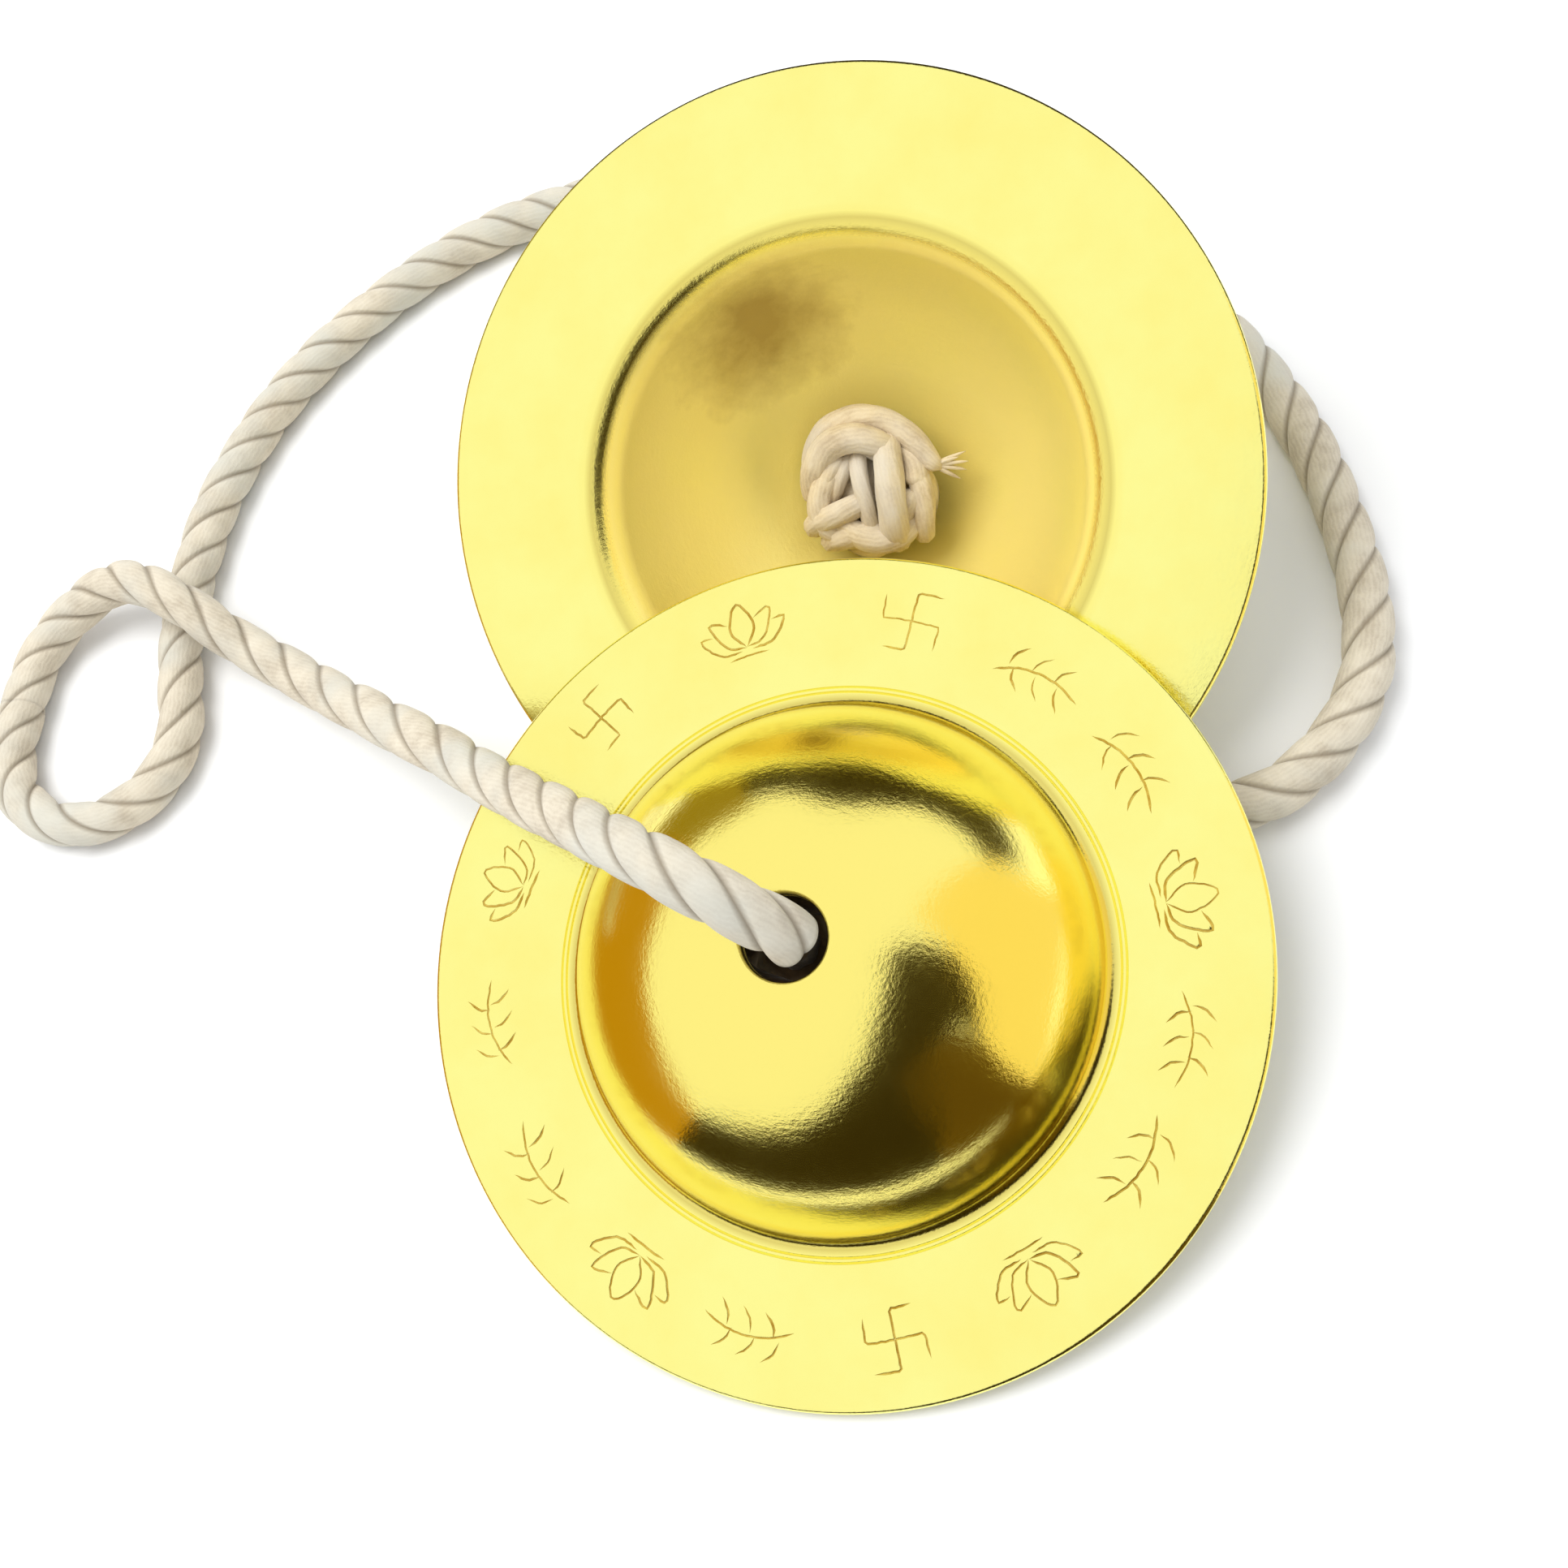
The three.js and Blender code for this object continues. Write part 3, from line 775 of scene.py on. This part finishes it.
def cymbal_section():
    """The section of the bent sheet in (radius, height), from the hole over the boss to the rim and back."""
    foot = math.atan2(MOUTH_BEND - SPHERE_Z, BEND_RADIUS)
    mouth = math.atan2(CUP_BEND - SPHERE_Z, MOUTH_RADIUS)
    outer_hole = math.acos((HOLE_RADIUS + HOLE_ROUND) / BOSS_SPHERE)
    inner_hole = math.acos((HOLE_RADIUS + HOLE_ROUND) / CUP_SPHERE)
    edge = RIM_RADIUS - EDGE_ROUND
    outer = arc(0, SPHERE_Z, BOSS_SPHERE, outer_hole, foot, DOME_STEPS)
    outer += arc(BEND_RADIUS, MOUTH_BEND, FOOT_FILLET, math.pi + foot, 1.5 * math.pi, FOOT_STEPS)[1:]
    for inset in TURNED_LINES:
        outer += turned_line(BEND_RADIUS + inset)
    outer.append((MARKS_FROM, WALL))
    outer += arc(edge, WALL - EDGE_ROUND, EDGE_ROUND, math.pi / 2, 0, EDGE_STEPS)
    inner = arc(edge, EDGE_ROUND, EDGE_ROUND, 0, -math.pi / 2, EDGE_STEPS)
    inner += arc(MOUTH_RADIUS, CUP_BEND, CUP_BEND, 1.5 * math.pi, math.pi + mouth, MOUTH_STEPS)
    inner += arc(0, SPHERE_Z, CUP_SPHERE, mouth, inner_hole, DOME_STEPS)[1:]
    top_z = outer[0][1]
    low_z = inner[-1][1]
    bore_radius = HOLE_RADIUS + HOLE_ROUND
    bore = arc(bore_radius, low_z + HOLE_ROUND, HOLE_ROUND, 1.5 * math.pi, math.pi, HOLE_STEPS)
    bore += arc(bore_radius, top_z - HOLE_ROUND, HOLE_ROUND, math.pi, math.pi / 2, HOLE_STEPS)[:-1]
    return outer + inner + bore


def curved(points):
    return smooth_curve(points, per_span=6)


def mark_strokes(kind):
    """A mark's strokes in mm, with x along the rim and y outwards."""
    if kind == "swastika":
        upright = [(2.6, 3.1), (0, 3.1), (0, -3.1), (-2.6, -3.1)]
        level = [(3.1, -2.6), (3.1, 0), (-3.1, 0), (-3.1, 2.6)]
        return [upright, level]
    if kind == "lotus":
        petal = [(0, -2.2), (-1.4, 0), (0, 3), (1.4, 0), (0, -2.2)]
        beside = [(0, -2.2), (2.2, -1.6), (3.4, 1.8), (1.4, 0.9)]
        outer = [(0.6, -2.5), (3.2, -2.2), (4.9, 0.3), (3.4, 0.2)]
        strokes = [curved(petal)]
        for side in (-1, 1):
            for points in (beside, outer):
                strokes.append(curved([(side * x, y) for x, y in points]))
        return [*strokes, [(-2.6, -3.2), (2.6, -3.2)]]
    stem = curved([(-5.2, -1.1), (-2, 0.1), (1.6, 0.3), (4.9, -0.5)])
    leaf = [(0, 0), (0.3, 1.3), (1.5, 2.5)]
    leaves = []
    for x, side in ((-3.7, 1), (-3.1, -1), (-1.1, 1), (-0.5, -1), (1.5, 1), (2.1, -1)):
        leaves.append(curved([(x + dx, side * dy) for dx, dy in leaf]))
    return [stem, *leaves]


def rim_strokes():
    """Every scratched stroke on the rim in mm, as its middle line and half its width there."""
    draws = random.Random(MARK_SEED)
    strokes = []
    for kind, radius, degrees in MARKS:
        turn = math.radians(degrees + draws.uniform(-MARK_SHIFT, MARK_SHIFT))
        lean = draws.uniform(-MARK_LEAN, MARK_LEAN)
        size = draws.uniform(*MARK_SIZES)
        for stroke in mark_strokes(kind):
            line, along = evenly(size * np.array(stroke, float), SCRATCH_STEP)
            round_rim = turn + (line[:, 0] * math.cos(lean) + line[:, 1] * math.sin(lean)) / radius
            out = radius + line[:, 1] * math.cos(lean) - line[:, 0] * math.sin(lean)
            shakes = [draws.uniform(-STROKE_SHAKE, STROKE_SHAKE) for _ in range(2 * len(line))]
            shake = np.array(shakes).reshape(-1, 2)
            middle = np.column_stack([out * np.sin(round_rim), out * np.cos(round_rim)]) + shake
            ends = np.minimum(along, along[-1] - along) / SCRATCH_TAPER
            pressure = draws.uniform(*STROKE_PRESSURES)
            strokes.append((middle, SCRATCH_WIDTH / 2 * pressure * np.clip(ends, 0, 1)))
    return strokes


def scratch_depth(places, strokes):
    """How deep the strokes cut the face at each place, in mm."""
    depth = np.zeros(len(places))
    for line, half in strokes:
        start, step = line[:-1], np.diff(line, axis=0)
        offset = places[:, None] - start
        share = np.clip((offset * step).sum(2) / (step**2).sum(1), 0, 1)
        away = np.linalg.norm(offset - share[:, :, None] * step, axis=2)
        width = half[:-1] + share * np.diff(half)
        depth = np.maximum(depth, ((width - away) * SCRATCH_SLOPE).max(1))
    return depth


def ring_outline(radius, first):
    """A circle's points, and the edges that join them, numbered from first."""
    angles = [TURN * i / ROUND_STEPS for i in range(ROUND_STEPS)]
    points = [(radius * math.cos(angle), radius * math.sin(angle)) for angle in angles]
    edges = [(first + i, first + (i + 1) % ROUND_STEPS) for i in range(ROUND_STEPS)]
    return points, edges


def stroke_outline(line, half, first):
    """The points of a stroke's middle line and of both its sides, and the edges that join them."""
    tangent = np.gradient(line, axis=0)
    tangent /= np.linalg.norm(tangent, axis=1)[:, None]
    beside = np.column_stack([-tangent[:, 1], tangent[:, 0]]) * half[:, None]
    points = line.tolist() + (line + beside)[1:-1].tolist() + (line - beside)[1:-1].tolist()
    count = len(line)
    last = first + count - 1
    left_from = last + 1
    right_from = left_from + count - 2
    middle = [*range(first, last + 1)]
    left = [first, *range(left_from, right_from), last]
    right = [first, *range(right_from, right_from + count - 2), last]
    edges = []
    for chain in (middle, left, right):
        edges += zip(chain, chain[1:])
    return points, edges


def scratched_face(strokes):
    """The rim's outer face in the cymbal's own frame: points, triangles, and which triangles are cut."""
    inner, outer = MARKS_FROM / MM, (RIM_RADIUS - EDGE_ROUND) / MM
    points, edges = ring_outline(inner, 0)
    more_points, more_edges = ring_outline(outer, len(points))
    points += more_points
    edges += more_edges
    for line, half in strokes:
        more_points, more_edges = stroke_outline(line, half, len(points))
        points += more_points
        edges += more_edges
    flat, _, triangles, *_ = delaunay_2d_cdt([Vector(p) for p in points], edges, [], 0, SAME_POINT)
    places = np.array([tuple(p) for p in flat])
    outside = np.linalg.norm(places, axis=1) > inner + FACE_MARGIN
    triangles = [t for t in triangles if outside[t].any()]
    depth = scratch_depth(places, strokes)
    middles = np.array([places[t].mean(0) for t in triangles])
    cut = scratch_depth(middles, strokes) > CUT_FROM
    solid = np.column_stack([places, WALL / MM - depth]) * MM
    return solid, triangles, cut


def cymbal_place(joint, boss_side):
    """From a cymbal's own frame to the table. boss_side is 1 where its joint's axis points out of the
    boss, or -1."""
    spin = next(j for j in frame["joints"] if j["name"] == joint)
    up = Vector(spin["axis"]).normalized() * boss_side
    across = Vector((1, 0, 0))
    turned = Matrix((across, up.cross(across), up)).transposed().to_4x4()
    return Matrix.Translation(spin["pos_m"]) @ turned


def lathe(section, open_row=None):
    """The section turned round the axis, without the faces that start at open_row."""
    count = len(section)
    points, faces = [], []
    for i in range(ROUND_STEPS):
        angle = TURN * i / ROUND_STEPS
        points += [(r * math.cos(angle), r * math.sin(angle), z) for r, z in section]
        after = (i + 1) % ROUND_STEPS
        for j in range(count):
            k = (j + 1) % count
            if j != open_row:
                faces.append((i * count + j, i * count + k, after * count + k, after * count + j))
    return points, faces


def weld(mesh):
    """Joins the scratched face to the turned ones, and points every face outwards."""
    joined = bmesh.new()
    joined.from_mesh(mesh)
    bmesh.ops.remove_doubles(joined, verts=joined.verts, dist=WELD_DISTANCE)
    bmesh.ops.recalc_face_normals(joined, faces=joined.faces)
    joined.to_mesh(mesh)
    joined.free()


def cymbal(name, joint, boss_side, materials, strokes=()):
    """A turned cymbal on its spin joint's axis, with any strokes scratched in its rim's outer face."""
    section = cymbal_section()
    face_row = section.index((MARKS_FROM, WALL))
    points, faces = lathe(section, face_row if strokes else None)
    cut = np.zeros(len(faces), bool)
    if strokes:
        face_points, triangles, face_cut = scratched_face(strokes)
        first = len(points)
        points += face_points.tolist()
        faces += [tuple(corner + first for corner in triangle) for triangle in triangles]
        cut = np.concatenate([cut, face_cut])
    made = mesh_object(name, points, faces)
    mesh = made.data
    for material in materials:
        mesh.materials.append(material)
    mesh.polygons.foreach_set("material_index", cut.astype(np.int32))
    weld(mesh)
    keep_own_place(mesh)
    mesh.set_sharp_from_angle(angle=math.radians(SHARP_DEGREES))
    mesh.transform(cymbal_place(joint, boss_side))
    return made


# Stage and light

def make_floor():
    half = FLOOR_HALF
    corners = [(-half, -half, 0), (half, -half, 0), (half, half, 0), (-half, half, 0)]
    floor = mesh_object("floor", corners, [(0, 1, 2, 3)])
    material, _, shader = new_material("floor_paper")
    shader.inputs["Base Color"].default_value = FLOOR_PAPER
    shader.inputs["Roughness"].default_value = FLOOR_ROUGHNESS
    shader.inputs["Specular IOR Level"].default_value = FLOOR_SPECULAR
    floor.data.materials.append(material)


def make_world():
    """White where the camera or the brass sees it, and plain soft light for the rest."""
    world = bpy.data.worlds.new("studio")
    world.use_nodes = True
    tree = world.node_tree
    background = tree.nodes["Background"]
    path = add(tree, "ShaderNodeLightPath")
    seen = math_node(tree, "MAXIMUM", path.outputs["Is Camera Ray"], path.outputs["Is Glossy Ray"])
    colour = mix_colour(tree, seen, SOFT_LIGHT_TINT, WHITE)
    tree.links.new(colour, background.inputs["Color"])
    strength = spread(tree, seen, 0, 1, SOFT_LIGHT, 1)
    tree.links.new(strength, background.inputs["Strength"])
    scene.world = world


def make_lamp():
    """One soft lamp from above, which the brass doesn't mirror."""
    data = bpy.data.lights.new("key_light", "AREA")
    data.shape = "DISK"
    data.size = KEY_SIZE
    data.energy = KEY_POWER
    lamp = bpy.data.objects.new("key_light", data)
    lamp.location = KEY_PLACE
    direction = Vector(KEY_TARGET) - Vector(KEY_PLACE)
    lamp.rotation_mode = "QUATERNION"
    lamp.rotation_quaternion = direction.to_track_quat("-Z", "Y")
    lamp.visible_glossy = False
    scene.collection.objects.link(lamp)


def card_point(azimuth, elevation):
    """Where a card is in a direction from CARD_CENTRE: upright, or on the table in front of that."""
    turn = math.radians(azimuth)
    rise = math.tan(math.radians(elevation))
    x, y, z = CARD_CENTRE
    drop = z - TABLE_PAPER
    out = CARD_DISTANCE if CARD_DISTANCE * rise > -drop else -drop / rise
    return (x + out * math.sin(turn), y + out * math.cos(turn), z + out * rise)


def reflection_card(name, colour, outline):
    """A plain glowing card that only the brass mirrors."""
    azimuths, lows, highs = zip(*outline)
    columns = round(azimuths[-1] - azimuths[0]) // 2
    points, faces = [], []
    for i in range(CARD_ROWS + 1):
        for azimuth in np.linspace(azimuths[0], azimuths[-1], columns + 1):
            low = np.interp(azimuth, azimuths, lows)
            high = np.interp(azimuth, azimuths, highs)
            points.append(card_point(azimuth, low + (high - low) * i / CARD_ROWS))
    for i in range(CARD_ROWS):
        for j in range(columns):
            k = i * (columns + 1) + j
            faces.append((k, k + 1, k + columns + 2, k + columns + 1))
    card = mesh_object(name, points, faces)
    material, tree, shader = new_material(name)
    tree.nodes.remove(shader)
    glow = add(tree, "ShaderNodeEmission", {"Color": (*colour, 1), "Strength": 1})
    tree.links.new(glow.outputs[0], tree.nodes["Material Output"].inputs["Surface"])
    card.data.materials.append(material)
    card.visible_camera = False
    card.visible_diffuse = False
    card.visible_shadow = False
    card.visible_transmission = False


def declare_cord(piece, route, line):
    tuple(route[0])


make_camera()

# The cord's cotton carries painted shade in the grooves between its strands
cord_cotton = cotton_material("cord_cotton", CORD_COTTON, CORD_YARN_LEAN, groove_shade=CORD_GROOVE_SHADE)
(front_cord, front_line), (rear_cord, rear_line) = make_cords(cord_cotton)

# The knot's cotton carries painted shade low down, in the hole and at its base
knot_cotton = cotton_material("knot_cotton", KNOT_COTTON, KNOT_YARN_LEAN, painted_shade_to=PAINTED_SHADE_TO)
rear_knot = make_knot("rear_knot_tied", "rear_cymbal_spin", -1, knot_cotton)
front_knot = make_knot("front_knot_tied", "front_cymbal_spin", 1, knot_cotton)

# The rear cup's brass carries a painted dark reflection, coloured as tarnish
rear_brass = brass_material("rear_brass", REAR_BOSS_ROUGHNESS, CUP_PAINTED_REFLECTION)
front_brass = brass_material("front_brass", FRONT_BOSS_ROUGHNESS)
rear_cymbal = cymbal("rear_cymbal_turned", "rear_cymbal_spin", -1, [rear_brass])
front_cymbal = cymbal(
    "front_cymbal_turned", "front_cymbal_spin", 1, [front_brass, scratch_material()], rim_strokes()
)

for piece, node, body in (
    (rear_cymbal, "rear_cymbal", "rear_cymbal"),
    (front_cymbal, "front_cymbal", "front_cymbal"),
    (rear_knot, "rear_knot", "cord"),
    (front_knot, "front_knot", "front_knot"),
    (rear_cord, "cord_rear_run", "cord"),
):
    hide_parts(node)
    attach(piece, body)
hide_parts("cord_front_run")
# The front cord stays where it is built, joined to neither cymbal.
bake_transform(front_cord)
declare_cord(front_cord, FRONT_ROUTE, front_line)
declare_cord(rear_cord, REAR_ROUTE, rear_line)

make_floor()
make_world()
make_lamp()
for card_name, (card_colour, card_outline) in CARDS.items():
    reflection_card(card_name, card_colour, card_outline)

scene.view_settings.view_transform = "Standard"
